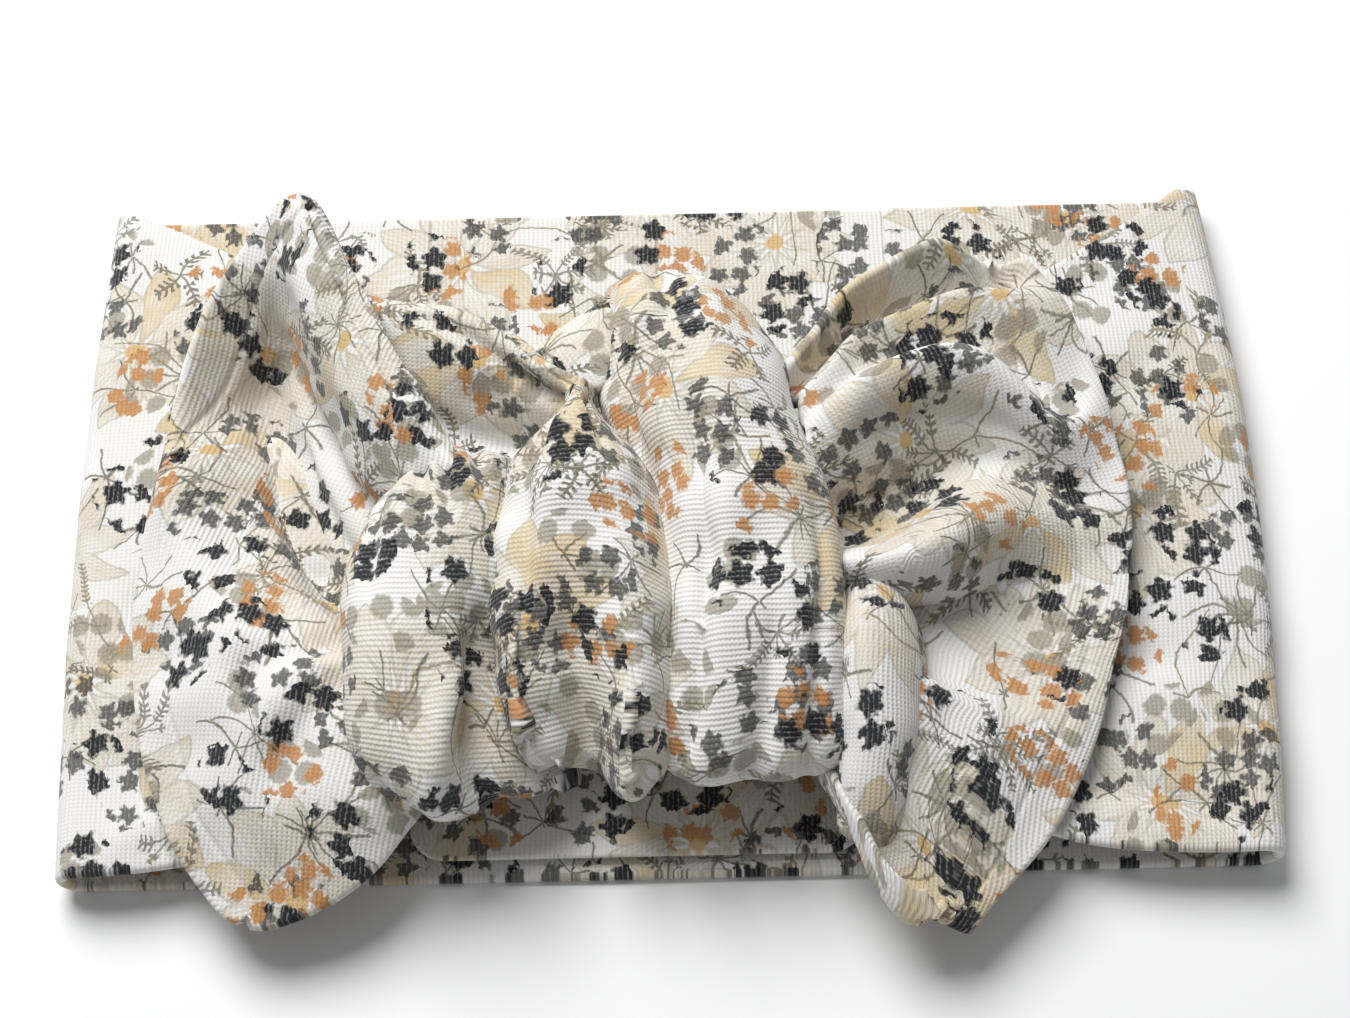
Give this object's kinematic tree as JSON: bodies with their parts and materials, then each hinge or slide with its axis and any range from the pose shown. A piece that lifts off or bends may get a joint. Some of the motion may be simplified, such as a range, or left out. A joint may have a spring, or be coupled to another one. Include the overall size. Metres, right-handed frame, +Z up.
{
  "type": "knotted headband",
  "caption": "Wide soft rib-knit headwrap in a floral print, lying flat, its front gathered into a knot with two bow wings; the ring opens for a head.",
  "frame": {"origin": "middle of the lower face of the rear run, where the flat headband lies on a table", "axes": "+X along the flattened ring to the viewer's right, +Y towards the band's top edge, +Z up off the table through the knot"},
  "size_m": [0.1896, 0.132, 0.0336],
  "materials": {
    "band_cloth": "matte",
    "band_lining": "matte",
    "knot_cloth": "matte",
    "seam_thread": "matte"
  },
  "bodies": {
    "rear_centre": {"rear_centre_outer_ply": "band_cloth", "rear_centre_inner_ply": "band_lining", "rear_joining_seam": "band_lining"},
    "rear_left": {"rear_left_outer_ply": "band_cloth", "rear_left_inner_ply": "band_lining", "left_side_fold": "band_lining"},
    "rear_right": {"rear_right_outer_ply": "band_cloth", "rear_right_inner_ply": "band_lining", "right_side_fold": "band_lining"},
    "front_left": {"front_left_outer_ply": "band_cloth", "front_left_inner_ply": "band_lining", "front_left_pleat": "band_cloth"},
    "front_right": {"front_right_outer_ply": "band_cloth", "front_right_inner_ply": "band_lining", "front_right_pleat": "band_cloth"},
    "knot": {"gathered_centre": "band_cloth", "knot_back_loop": "knot_cloth", "knot_under_fold": "knot_cloth", "knot_left_puff": "knot_cloth", "knot_middle_puff": "knot_cloth", "knot_right_puff": "knot_cloth", "knot_upper_fold": "knot_cloth", "tack_stitches": "seam_thread"},
    "left_wing": {"left_wing_face_ply": "knot_cloth", "left_wing_back_ply": "knot_cloth", "left_wing_ridge_roll": "knot_cloth", "left_wing_end_seam": "knot_cloth"},
    "right_wing": {"right_wing_face_ply": "knot_cloth", "right_wing_back_ply": "knot_cloth", "right_wing_inner_roll": "knot_cloth", "right_wing_lower_roll": "knot_cloth", "right_wing_end_seam": "knot_cloth"}
  },
  "joints": [
    {"name": "band_opening", "type": "hinge", "parent": "rear_centre", "child": "rear_left", "pos_m": [-0.025, 0, 0.0009], "axis": [0, 1, 0], "range_deg": [0, 50]},
    {"name": "rear_right_bend", "type": "hinge", "parent": "rear_centre", "child": "rear_right", "pos_m": [0.025, 0, 0.0009], "axis": [0, -1, 0], "range_deg": [0, 50]},
    {"name": "left_fold_turn", "type": "hinge", "parent": "rear_left", "child": "front_left", "pos_m": [-0.0905, 0, 0.0045], "axis": [0, -1, 0], "range_deg": [0, 100]},
    {"name": "right_fold_turn", "type": "hinge", "parent": "rear_right", "child": "front_right", "pos_m": [0.0905, 0, 0.0045], "axis": [0, 1, 0], "range_deg": [0, 100]},
    {"name": "knot_left_bend", "type": "hinge", "parent": "front_left", "child": "knot", "pos_m": [-0.025, 0, 0.0081], "axis": [0, 1, 0], "range_deg": [0, 50]},
    {"name": "left_wing_lift", "type": "hinge", "parent": "knot", "child": "left_wing", "pos_m": [-0.052, 0, 0.0135], "axis": [0, 1, 0], "range_deg": [0, 35]},
    {"name": "right_wing_lift", "type": "hinge", "parent": "knot", "child": "right_wing", "pos_m": [0.03, 0, 0.0135], "axis": [0, -1, 0], "range_deg": [0, 35]}
  ],
  "couplings": [
    {"joint": "rear_right_bend", "follows": "band_opening", "ratio": 1},
    {"joint": "left_fold_turn", "follows": "band_opening", "ratio": 2},
    {"joint": "right_fold_turn", "follows": "band_opening", "ratio": 2},
    {"joint": "knot_left_bend", "follows": "band_opening", "ratio": 1}
  ]
}
